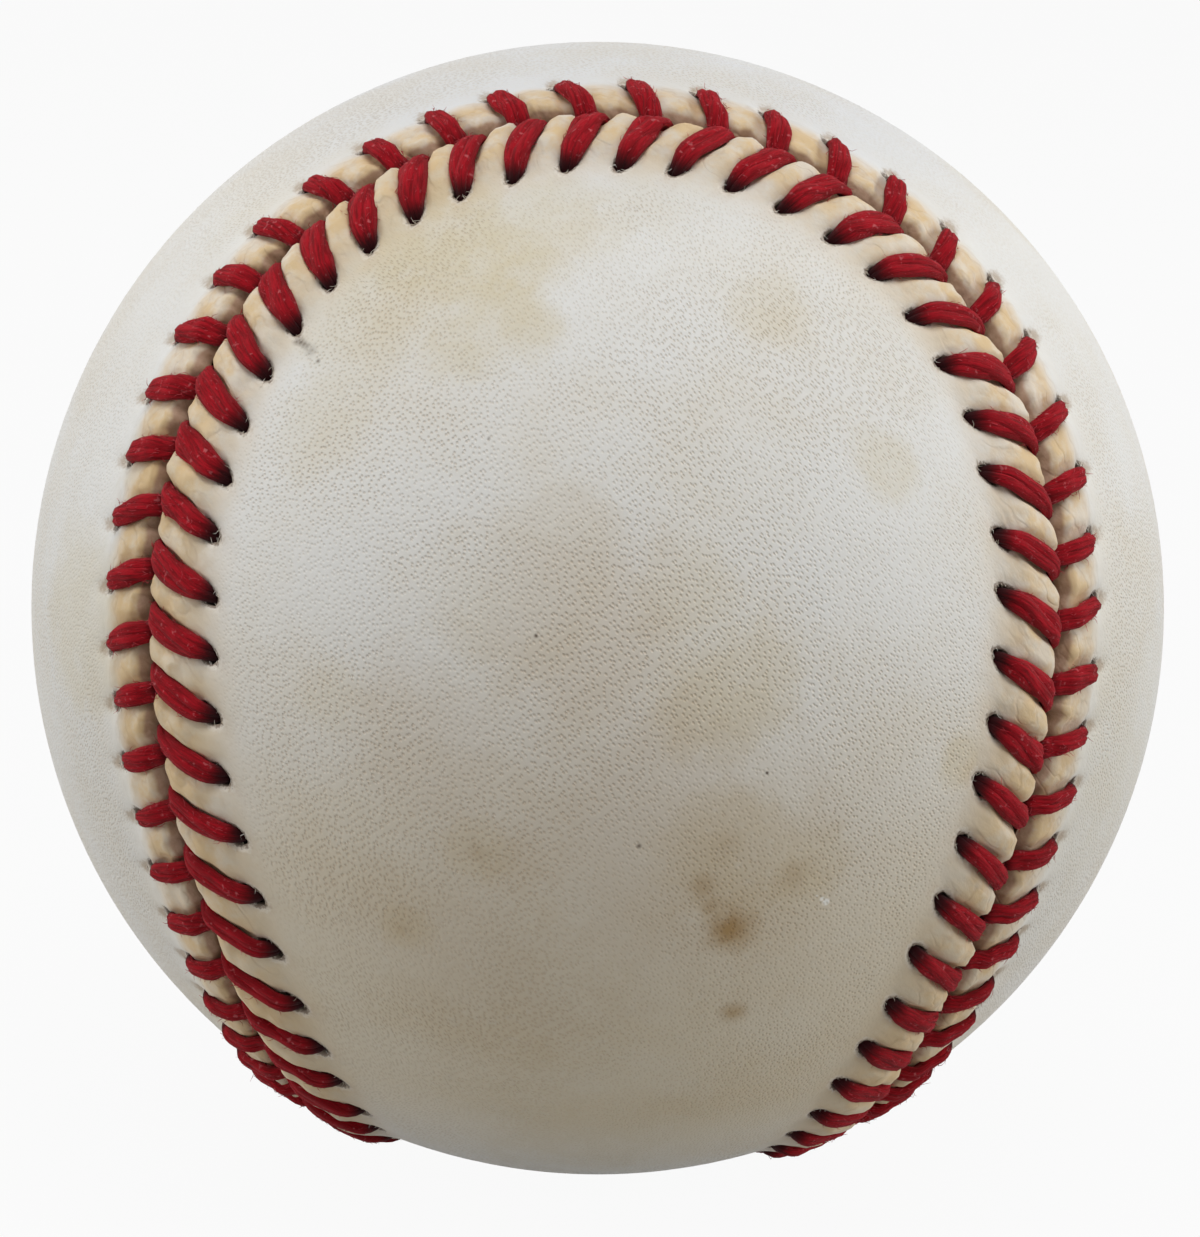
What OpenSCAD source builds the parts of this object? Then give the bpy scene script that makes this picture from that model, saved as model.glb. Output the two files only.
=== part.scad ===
/* [Ball] */
// Diameter of the finished ball over the leather, away from the raised seam
ball_diameter = 73.8; // [71:0.1:77]
// Thickness of each cowhide cover panel
cover_thickness = 1.3; // [1.1:0.05:1.6]
// Thickness of the film of cement under the cover
cement_thickness = 0.15; // [0.1:0.05:0.3]

/* [Seam] */
// Angle that the seam climbs above and below the middle of the ball
seam_reach_angle = 68; // [62:0.5:70]
// Angle that the seam swings sideways on its way
seam_swing_angle = 19.6; // [16:0.2:22]
// Angle that flattens the ends of the lobes
seam_reach_trim_angle = 2.8; // [0:0.1:4]
// Angle that trims the sides of the necks
seam_swing_trim_angle = -0.7; // [-2:0.1:2]
// Width of the gap between the two panels
seam_gap = 1.4; // [1.2:0.1:2]

/* [Stitches] */
// Number of V stitches round the seam, an even number
stitch_count = 108; // [96:4:116]
// Distance from the middle of the seam to the middle of a stitch hole
stitch_inset = 4.7; // [4:0.1:6]
// Diameter of a stitch hole
hole_diameter = 1.7; // [1.5:0.1:2]
// Widest width of a thread leg, where it lies over the leather
leg_width = 1.9; // [1.3:0.1:2.1]
// Width of the thread in its holes, in the gap and under the leather
thread_width = 1.3; // [0.8:0.05:1.35]
// Height of a thread leg over the leather
leg_height = 0.8; // [0.6:0.05:1]
// Height of the thread where it is pressed flat under the leather
pressed_height = 0.45; // [0.3:0.05:0.6]
// Distance that a leg of the lower panel leans ahead of its hole
leg_lean = 2.3; // [2:0.1:3]
// Distance along the seam between two legs where they cross in the gap
crossing_step = 1.5; // [1.4:0.1:1.8]

/* [Raised seam] */
// Rise of the leather under a thread leg
leg_rise = 0.2; // [0.1:0.05:0.4]
// Rise of the leather pillows between two legs
pillow_rise = 0.8; // [0.4:0.05:1]
// Rise of the lip's edge at the gap
edge_rise = 0.15; // [0:0.05:0.2]
// Width of leather between a stitch hole and the foot of the raised seam
hole_margin = 1.1; // [0.9:0.1:2]
// Width of the slope at the foot of the raised seam
foot_width = 1.6; // [1:0.1:2.5]

/* [Windings] */
// Thickness of the fine white poly-cotton winding
finishing_winding_thickness = 0.6; // [0.4:0.05:1]
// Thickness of the thin gray wool winding
third_winding_thickness = 2.2; // [1:0.1:4]
// Thickness of the white wool winding
second_winding_thickness = 1.8; // [1:0.1:4]

/* [Pill] */
// Diameter of the cork and rubber core
core_diameter = 20.6; // [18:0.1:24]
// Thickness of the two black rubber half shells
inner_rubber_thickness = 3.8; // [3:0.1:5]
// Thickness of the red rubber layer
outer_rubber_thickness = 2.6; // [1.5:0.1:4]
// Thickness of the rubber washer between the two half shells
washer_thickness = 1.2; // [0.8:0.1:2]

/* [Fits] */
// Clearance between two pieces that lie against each other
seat_clearance = 0.05; // [0.03:0.01:0.1]
// Clearance round the thread
thread_clearance = 0.08; // [0.05:0.01:0.12]

/* [Hidden] */
$fn = 120;

// Distance that a cutting shape runs past the surface it cuts
overrun = 1;

// Radii of the layers, from the outside in
ball_radius = ball_diameter / 2;
cover_inner_radius = ball_radius - cover_thickness;
cement_radius = cover_inner_radius - seat_clearance;
finishing_radius = cement_radius - cement_thickness - seat_clearance;
third_radius = finishing_radius - finishing_winding_thickness - seat_clearance;
second_radius = third_radius - third_winding_thickness - seat_clearance;
first_radius = second_radius - second_winding_thickness - seat_clearance;

// Radii of the pill, from the inside out
core_radius = core_diameter / 2;
inner_rubber_bore = core_radius + seat_clearance;
inner_rubber_radius = inner_rubber_bore + inner_rubber_thickness;
outer_rubber_bore = inner_rubber_radius + seat_clearance;
pill_radius = outer_rubber_bore + outer_rubber_thickness;
first_winding_bore = pill_radius + seat_clearance;

// The seam is one closed curve on the ball, traced by two full turns
SEAM_TURN_ANGLE = 720;
SEAM_SAMPLES = 720;
TURN_STEP = SEAM_TURN_ANGLE / SEAM_SAMPLES;

function seam_longitude(turn) =
    turn / 2 + seam_swing_angle * sin(2 * turn) + seam_swing_trim_angle * sin(4 * turn);

function seam_latitude(turn) =
    seam_reach_trim_angle * cos(3 * turn) - seam_reach_angle * cos(turn);

function seam_point(turn) =
    let (longitude = seam_longitude(turn), latitude = seam_latitude(turn))
    [cos(latitude) * cos(longitude), cos(latitude) * sin(longitude), sin(latitude)];

function unit(v) = v / norm(v);

// Length of the seam between one turn and the turn a step before it
function seam_step(turn) = ball_radius * norm(seam_point(turn) - seam_point(turn - TURN_STEP));

// Pairs of distance along the seam and turn
seam_table = [
    for (
        turn = 0, run = 0;
        turn <= SEAM_TURN_ANGLE;
        turn = turn + TURN_STEP, run = run + seam_step(turn)
    )
    [run, turn]
];
seam_length = seam_table[SEAM_SAMPLES][0];
stitch_pitch = seam_length / stitch_count;

function wrapped(run) = run - seam_length * floor(run / seam_length);

// Turn of the seam at a distance along it
function seam_turn(run) = lookup(wrapped(run), seam_table);

// Direction along the seam there
function seam_tangent(turn) =
    unit(seam_point(turn + TURN_STEP / 2) - seam_point(turn - TURN_STEP / 2));

// Direction across the seam there, towards the upper panel
function seam_across(turn) = unit(cross(seam_point(turn), seam_tangent(turn)));

// Point at a distance along the seam, a distance across it and a radius from the centre
function seam_place(run, across, radius) =
    let (turn = seam_turn(run), angle = across / ball_radius * 180 / PI)
    radius * (seam_point(turn) * cos(angle) + seam_across(turn) * sin(angle));

// Legs lean along the seam, so that their inner ends lie ahead of their holes
function lean(side) = side < 0 ? leg_lean : leg_lean - crossing_step;

function leaning_run(run, side, across) = run + lean(side) * (1 - across / stitch_inset);

// Places across the seam of the edges of the raised lip
lip_edge = seam_gap / 2;
lip_top = stitch_inset + hole_margin;
lip_root = lip_top + foot_width;

// Radii of the thread's middle line; under the leather it runs straight over the round core
under_sag = pow(norm([stitch_inset, leg_lean]), 2) / (8 * ball_radius);
under_radius = cement_radius + thread_clearance + under_sag + pressed_height / 2;
over_radius = ball_radius + leg_rise + thread_clearance + leg_height / 2;
crest_radius = over_radius + thread_clearance;
dive_radius = ball_radius + edge_rise + thread_clearance + leg_height / 2;

// Radii of the raised lip
lip_under_radius = under_radius + pressed_height / 2 + thread_clearance;
root_outer_radius = ball_radius - cover_thickness / 4;
root_inner_radius = cover_inner_radius + cover_thickness / 4;

// Two rows of the lip for each stitch: one under the leg and one in the pillow between
LIP_ROWS = 2 * stitch_count;

// Outline of the lip at one row, as distance across and radius
function lip_section(rise) = [
    [lip_root, root_outer_radius],
    [lip_top, ball_radius + rise / 2],
    [stitch_inset / 2, ball_radius + rise],
    [lip_edge, ball_radius + edge_rise],
    [lip_edge, lip_under_radius],
    [lip_top, lip_under_radius],
    [lip_root, root_inner_radius]
];

function row_rise(row) = row % 2 == 0 ? leg_rise : pillow_rise;

// Side is 1 for the upper panel and -1 for the lower one
module lip(side) {
    sections = [for (row = [0 : LIP_ROWS - 1]) lip_section(row_rise(row))];
    count = len(sections[0]);
    points = [
        for (row = [0 : LIP_ROWS - 1])
        for (corner = sections[row])
        seam_place(
            leaning_run(row * seam_length / LIP_ROWS, side, corner[0]),
            side * corner[0],
            corner[1]
        )
    ];
    faces = [
        for (row = [0 : LIP_ROWS - 1])
        for (k = [0 : count - 1])
        let (
            next_row = (row + 1) % LIP_ROWS,
            next_k = (k + 1) % count,
            a = row * count + k,
            b = next_row * count + k,
            c = next_row * count + next_k,
            d = row * count + next_k
        )
        each side > 0 ? [[a, b, c], [a, c, d]] : [[a, c, b], [a, d, c]]
    ];
    polyhedron(points = points, faces = faces);
}

// Cone from the centre of the ball through one panel's outline, past the ball
CONE_REACH = 2;
module panel_cone(side, inset) {
    rows = LIP_ROWS;
    first = side > 0 ? 0 : rows / 4;
    points = concat(
        [[0, 0, 0]],
        [for (row = [0 : rows - 1])
            seam_place(row * seam_length / rows, side * inset, CONE_REACH * ball_radius)]
    );
    function rim(row) = 1 + (row + 4 * rows) % rows;
    walls = [
        for (row = [0 : rows - 1])
        side > 0 ? [0, rim(row), rim(row + 1)] : [0, rim(row + 1), rim(row)]
    ];
    caps = [
        for (step = [0 : rows / 2 - 1])
        let (
            a = rim(first + step),
            b = rim(first + step + 1),
            c = rim(first - step - 1),
            d = rim(first - step)
        )
        each concat(
            b == c ? [] : [side > 0 ? [a, c, b] : [a, b, c]],
            a == d ? [] : [side > 0 ? [a, d, c] : [a, c, d]]
        )
    ];
    polyhedron(points = points, faces = concat(walls, caps));
}

module shell(outer_radius, inner_radius) {
    difference() {
        sphere(outer_radius);
        sphere(inner_radius);
    }
}

// Bore along the line from the centre through a place beside the seam
module stitch_hole(run, across) {
    axis = unit(seam_place(run, across, ball_radius));
    rotate([0, acos(axis[2]), atan2(axis[1], axis[0])])
        translate([0, 0, cover_inner_radius - overrun])
            cylinder(h = cover_thickness + pillow_rise + 2 * overrun, d = hole_diameter, $fn = 24);
}

module cover_panel(side) {
    difference() {
        union() {
            intersection() {
                shell(ball_radius, cover_inner_radius);
                panel_cone(side, (lip_top + lip_root) / 2);
            }
            lip(side);
        }
        for (stitch = [0 : stitch_count - 1])
            stitch_hole(stitch * stitch_pitch, side * stitch_inset);
    }
}

module upper_cover_panel() {
    color("#e9e5dd") cover_panel(1);
}

module lower_cover_panel() {
    color("#dedad2") cover_panel(-1);
}

// The five stations of one leg: place along, place across, radius, width, height
function leg_stations(stitch, strand) =
    let (
        side = (stitch + strand) % 2 == 0 ? 1 : -1,
        hole = stitch * stitch_pitch,
        inner = hole + lean(side)
    )
    [
        [hole, side * stitch_inset, under_radius, thread_width, pressed_height],
        [hole, side * stitch_inset, over_radius, thread_width, leg_height],
        [(hole + inner) / 2, side * stitch_inset / 2, crest_radius, leg_width, leg_height],
        [inner, 0, dive_radius, thread_width, leg_height],
        [inner, 0, under_radius, thread_width, pressed_height]
    ];

// The tucked end of a strand, under the panel that its last leg dives towards
function end_station(strand) =
    let (last_leg = leg_stations(stitch_count - 1, strand), dive = last_leg[4])
    [
        dive[0] - thread_width / 2,
        -last_leg[1][1] / 2,
        under_radius - under_sag,
        thread_width,
        pressed_height
    ];

function strand_stations(strand) = [
    for (stitch = [0 : stitch_count - 1]) each leg_stations(stitch, strand),
    end_station(strand)
];

function reversed(list) = [for (i = [len(list) - 1 : -1 : 0]) list[i]];

// One thread: its middle lies under the first stitch, and a strand runs each way from there
middle_station = [0, 0, under_radius, thread_width / 2, pressed_height];
thread_stations = concat(
    reversed(strand_stations(1)), [middle_station], strand_stations(0)
);
thread_points = [for (s = thread_stations) seam_place(s[0], s[1], s[2])];
THREAD_RINGS = len(thread_points);

thread_steps = [
    for (i = [1 : THREAD_RINGS - 1]) norm(thread_points[i] - thread_points[i - 1])
];
thread_length = thread_steps * [for (step = thread_steps) 1];

// Ring of the thread at one station, on the plane that halves the bend
THREAD_SIDES = 5;
// Bends sharper than this angle keep the thread's width level
SHARP_BEND_ANGLE = 37;
function thread_ring(i) =
    let (
        here = thread_points[i],
        before = i > 0 ? unit(here - thread_points[i - 1]) : unit(thread_points[i + 1] - here),
        after = i < THREAD_RINGS - 1 ? unit(thread_points[i + 1] - here) : before,
        along = unit(before + after),
        tangent = seam_tangent(seam_turn(thread_stations[i][0])),
        level = cross(before, after),
        wide = before * after < cos(SHARP_BEND_ANGLE)
            ? unit(level) * sign(level * tangent)
            : unit(tangent - (tangent * along) * along),
        thin = cross(along, wide),
        half_bend_cos = sqrt((1 + before * after) / 2),
        half_width = thread_stations[i][3] / 2,
        half_height = thread_stations[i][4] / 2 / half_bend_cos
    )
    [
        for (k = [0 : THREAD_SIDES - 1])
        let (angle = k * 360 / THREAD_SIDES)
        here + half_width * cos(angle) * wide + half_height * sin(angle) * thin
    ];

module stitching_thread() {
    points = [for (i = [0 : THREAD_RINGS - 1]) each thread_ring(i)];
    sides = [
        for (i = [0 : THREAD_RINGS - 2])
        for (k = [0 : THREAD_SIDES - 1])
        let (
            next_k = (k + 1) % THREAD_SIDES,
            a = i * THREAD_SIDES + k,
            b = (i + 1) * THREAD_SIDES + k,
            c = (i + 1) * THREAD_SIDES + next_k,
            d = i * THREAD_SIDES + next_k
        )
        each [[a, b, c], [a, c, d]]
    ];
    last = (THREAD_RINGS - 1) * THREAD_SIDES;
    ends = [
        for (k = [1 : THREAD_SIDES - 2])
        each [[0, k, k + 1], [last, last + k + 1, last + k]]
    ];
    color("#9c1b2e") polyhedron(points = points, faces = concat(sides, ends));
}

module cement_film() {
    color("#cdb98f") shell(cement_radius, cement_radius - cement_thickness);
}

module finishing_winding() {
    color("#f2efe6") shell(finishing_radius, finishing_radius - finishing_winding_thickness);
}

module third_winding() {
    color("#8f8f8c") shell(third_radius, third_radius - third_winding_thickness);
}

module second_winding() {
    color("#e6dfcf") shell(second_radius, second_radius - second_winding_thickness);
}

module first_winding() {
    color("#77777a") shell(first_radius, first_winding_bore);
}

module outer_rubber_layer() {
    color("#a8342b") shell(pill_radius, outer_rubber_bore);
}

// Half of the black shell, whose flat rim rests on the washer
module inner_rubber_shell() {
    rim_height = washer_thickness / 2 + seat_clearance;
    difference() {
        shell(inner_rubber_radius, inner_rubber_bore);
        translate([0, 0, rim_height - 2 * inner_rubber_radius])
            cylinder(h = 2 * inner_rubber_radius, r = 2 * inner_rubber_radius);
    }
}

module upper_inner_rubber_shell() {
    color("#26262a") inner_rubber_shell();
}

module lower_inner_rubber_shell() {
    color("#1d1d20") mirror([0, 0, 1]) inner_rubber_shell();
}

module rubber_washer() {
    color("#b5402f")
        intersection() {
            shell(inner_rubber_radius, inner_rubber_bore);
            cylinder(h = washer_thickness, r = 2 * inner_rubber_radius, center = true);
        }
}

module cork_core() {
    color("#b58a5a") sphere(core_radius);
}

echo(thread_length = thread_length, stitch_pitch = stitch_pitch, seam_length = seam_length);

upper_cover_panel();
lower_cover_panel();
stitching_thread();
cement_film();
finishing_winding();
third_winding();
second_winding();
first_winding();
outer_rubber_layer();
upper_inner_rubber_shell();
lower_inner_rubber_shell();
rubber_washer();
cork_core();
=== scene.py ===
import math

import bmesh
import bpy
import numpy as np
from mathutils import Matrix, Vector


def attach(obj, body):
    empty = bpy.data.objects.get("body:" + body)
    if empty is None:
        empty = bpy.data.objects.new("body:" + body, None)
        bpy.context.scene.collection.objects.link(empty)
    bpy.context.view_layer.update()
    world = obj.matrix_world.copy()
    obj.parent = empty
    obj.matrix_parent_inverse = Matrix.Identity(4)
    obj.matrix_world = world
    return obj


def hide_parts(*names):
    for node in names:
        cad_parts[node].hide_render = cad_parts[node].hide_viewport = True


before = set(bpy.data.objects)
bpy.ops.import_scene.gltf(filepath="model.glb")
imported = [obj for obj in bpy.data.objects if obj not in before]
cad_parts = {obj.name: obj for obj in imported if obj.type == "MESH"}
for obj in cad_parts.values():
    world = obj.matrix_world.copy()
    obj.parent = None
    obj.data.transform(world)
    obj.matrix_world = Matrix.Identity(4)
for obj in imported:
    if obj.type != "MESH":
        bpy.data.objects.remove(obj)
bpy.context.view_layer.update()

MM = 0.001

# The ball and its seam, in millimetres and degrees as in the construction
BALL_RADIUS = 36.9
SEAM_REACH = math.radians(68)
SEAM_SWING = math.radians(19.6)
SEAM_REACH_TRIM = math.radians(2.8)
SEAM_SWING_TRIM = math.radians(-0.7)
STITCH_COUNT = 108
COVER_INNER_RADIUS = 35.6
LIP_UNDER_RADIUS = 36.28
THREAD_UNDER_RADIUS = 35.97
LOWER, UPPER = -1, 1


def panels(lower, upper):
    """Value of each panel."""
    return {LOWER: lower, UPPER: upper}


LEAN = panels(2.6, 1.1)
LEAN_ACROSS = 5.3
HOLE_AHEAD = panels(0.0, 0.37)
HOLE_ACROSS = panels(4.6, 4.2)

# Slow wander of the hand-sewn stitches along the seam: waves round the ball, reach and peak
STITCH_WANDER = {1: (0.41, -12.5), 2: (0.29, -12.1), 3: (0.37, -10.7), 4: (0.30, 11.2)}
STITCH_WANDER_MEAN = 0.2

# The photograph: its frame, the ball's place in it and the camera's pose
PHOTO_WIDTH = 1200
PHOTO_HEIGHT = 1237
BALL_PIXEL_X = 597.7
BALL_PIXEL_Y = 608.1
FOCAL_PIXELS = 3439.9
CAMERA_DISTANCE = 6.1555 * BALL_RADIUS
CAMERA_AZIMUTH = math.radians(-1.05)
CAMERA_ELEVATION = math.radians(13.05)
CAMERA_ROLL = math.radians(2.5)

RANDOM = np.random.default_rng(108)

# How far each hand-punched hole strays along and across the seam
STRAY_REACH = (0.14, 0.16)
HOLE_STRAY = {side: RANDOM.uniform(-1, 1, (STITCH_COUNT, 2)) * STRAY_REACH for side in (LOWER, UPPER)}


# The seam


def seam_points(turn):
    longitude = turn / 2 + SEAM_SWING * np.sin(2 * turn) + SEAM_SWING_TRIM * np.sin(4 * turn)
    latitude = SEAM_REACH_TRIM * np.cos(3 * turn) - SEAM_REACH * np.cos(turn)
    level = np.cos(latitude)
    return np.stack([level * np.cos(longitude), level * np.sin(longitude), np.sin(latitude)], -1)


SEAM_SAMPLES = 14401
SEAM_TURNS = np.linspace(0, 4 * math.pi, SEAM_SAMPLES)
SEAM_STEPS = np.linalg.norm(np.diff(seam_points(SEAM_TURNS), axis=0), axis=1)
SEAM_RUNS = BALL_RADIUS * np.concatenate([[0], np.cumsum(SEAM_STEPS)])
SEAM_LENGTH = SEAM_RUNS[-1]
STITCH_PITCH = SEAM_LENGTH / STITCH_COUNT


def place(run, across, radius):
    """Points at a run along the seam, a place across it (above 0 on the upper panel) and a radius."""
    turn = np.interp(np.mod(run, SEAM_LENGTH), SEAM_RUNS, SEAM_TURNS)
    step = SEAM_TURNS[1]
    point = seam_points(turn)
    along = seam_points(turn + step) - seam_points(turn - step)
    along /= np.linalg.norm(along, axis=-1, keepdims=True)
    side = np.cross(point, along)
    angle = np.asarray(across)[..., None] / BALL_RADIUS
    return np.asarray(radius)[..., None] * (point * np.cos(angle) + side * np.sin(angle))


def stitch_run(stitch):
    """Run of a place counted in stitches, with the wander of the spacing."""
    wander = STITCH_WANDER_MEAN
    for waves, (reach, peak) in STITCH_WANDER.items():
        wander = wander + reach * np.cos(2 * math.pi * (waves * stitch - peak * waves) / STITCH_COUNT)
    return STITCH_PITCH * stitch + wander


def smooth(low, high, value):
    """Smooth step from 0 at low to 1 at high."""
    share = np.clip((value - low) / (high - low), 0, 1)
    return share * share * (3 - 2 * share)


def blend(low, high, share):
    return low + (high - low) * share


def lean_at(side, across):
    """How far ahead of its hole's tip a leg lies at a place across the seam."""
    return LEAN[side] * (1 - np.minimum(across, LEAN_END_ACROSS) / LEAN_ACROSS) + HOLE_AHEAD[side]


def ripples(lengths, reach):
    """Uneven surface of a few seeded waves, as a function of the places along and across."""
    waves = [
        (2 * math.pi / length, RANDOM.uniform(0, math.pi), RANDOM.uniform(0, 2 * math.pi))
        for length in lengths
    ]

    def height(along, across):
        total = sum(
            np.sin(rate * (along * math.cos(turn) + across * math.sin(turn)) + phase)
            for rate, turn, phase in waves
        )
        return reach * total / math.sqrt(len(waves))

    return height


# Meshes and objects


def unit(vectors):
    return vectors / np.linalg.norm(vectors, axis=-1, keepdims=True)


def add_object(name, data):
    made = bpy.data.objects.new(name, data)
    bpy.context.collection.objects.link(made)
    return made


def make_mesh(name, points, faces, vector_name=None, vectors=None):
    """Smooth mesh of points in mm, which may carry a vector at each point for its material."""
    data = bpy.data.meshes.new(name)
    data.from_pydata(points * MM, [], faces)
    data.polygons.foreach_set("use_smooth", np.ones(len(faces), bool))
    if vector_name:
        layer = data.attributes.new(vector_name, "FLOAT_VECTOR", "POINT")
        layer.data.foreach_set("vector", vectors.astype(np.float32).ravel())
    return data


def face_outward(data):
    edit = bmesh.new()
    edit.from_mesh(data)
    bmesh.ops.recalc_face_normals(edit, faces=edit.faces)
    edit.to_mesh(data)
    edit.free()


# Leather panels

ROWS_PER_STITCH = 12
ROWS = STITCH_COUNT * ROWS_PER_STITCH

# Each panel's lip, on the pillows between the legs and in the valleys under them: rise, place of
# the edge, width and drop of its rounding
PILLOW_RISE = panels(0.85, 0.5)
VALLEY_RISE = panels(0.25, 0.15)
PILLOW_EDGE = panels(0.02, 0.55)
VALLEY_EDGE = panels(0.55, 0.7)
PILLOW_ROUND = panels(1.5, 0.75)
VALLEY_ROUND = panels(1.1, 0.7)
PILLOW_DROP = panels(1.2, 1.0)
VALLEY_DROP = panels(0.8, 0.9)
# Shares of the rounding that are cut straight and that show the cut leather
BEVEL_SHARE = panels(0.0, 0.6)
CUT_SHARE = panels(0.3, 0.7)
LEG_HALF_SHARE = 0.15
PILLOW_HALF_SHARE = 0.38
LIP_TOP_ACROSS = 2.3
LIP_FOOT_ACROSS = 5.9
LEAN_END_ACROSS = 6.3
DENT_LENGTHS = (0.9, 1.2, 1.6, 2.3, 3.4)
DENT_REACH = 0.065
FRAY_REACH = 2 * DENT_REACH
# Differences between the pillows, and how much of them moves the edge
PILLOW_WOBBLE = 0.16
EDGE_WOBBLE_SHARE = 0.5
# Columns over which the cut leather fades out
CUT_FADE = np.array([-1, 0.5])
INNER_TOP_ACROSS = LIP_FOOT_ACROSS - 0.5
INNER_FOOT_ACROSS = 8.0

# Columns of the grid across the lip
WALL_COLUMNS = 2
ROUND_COLUMNS = 6
CREST_COLUMNS = 8
CELL = 0.3
HOLE_COLUMNS = 10
FOOT_PLACES = (6.6, 7.5, 8.8)
FILL_PLACES = (10.0, 11.5)
FILL_COLUMNS = 26

# The slit of each stitch hole
HALF_CELLS_ALONG, HALF_CELLS_ACROSS = 2, 3
MARGIN_CELLS = 2
HOLE_HALF_WIDTH = panels(0.66, 0.6)
HOLE_HALF_LENGTH = panels(0.75, 0.7)
HOLE_POINTED_SHARE = panels(0.35, 0.3)
# Ragged outline of a hole
RAGGED_REACH, RAGGED_POINTS, RAGGED_TURN = 0.07, 5, 2.4
# Hollow that the tight thread has pressed beyond its hole
HOLLOW_ACROSS = panels(5.0, 4.9)
HOLLOW_HALF_WIDTH = 0.5
HOLLOW_HALF_LENGTH = panels(0.6, 0.85)
HOLLOW_DEPTH = panels(0.08, 0.24)
HOLE_WARP_REACH = 2.4


def pillow_share(phase):
    """0 under a thread leg and 1 on the pillow between two legs."""
    return smooth(LEG_HALF_SHARE, PILLOW_HALF_SHARE, np.abs(phase - np.round(phase)))


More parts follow.
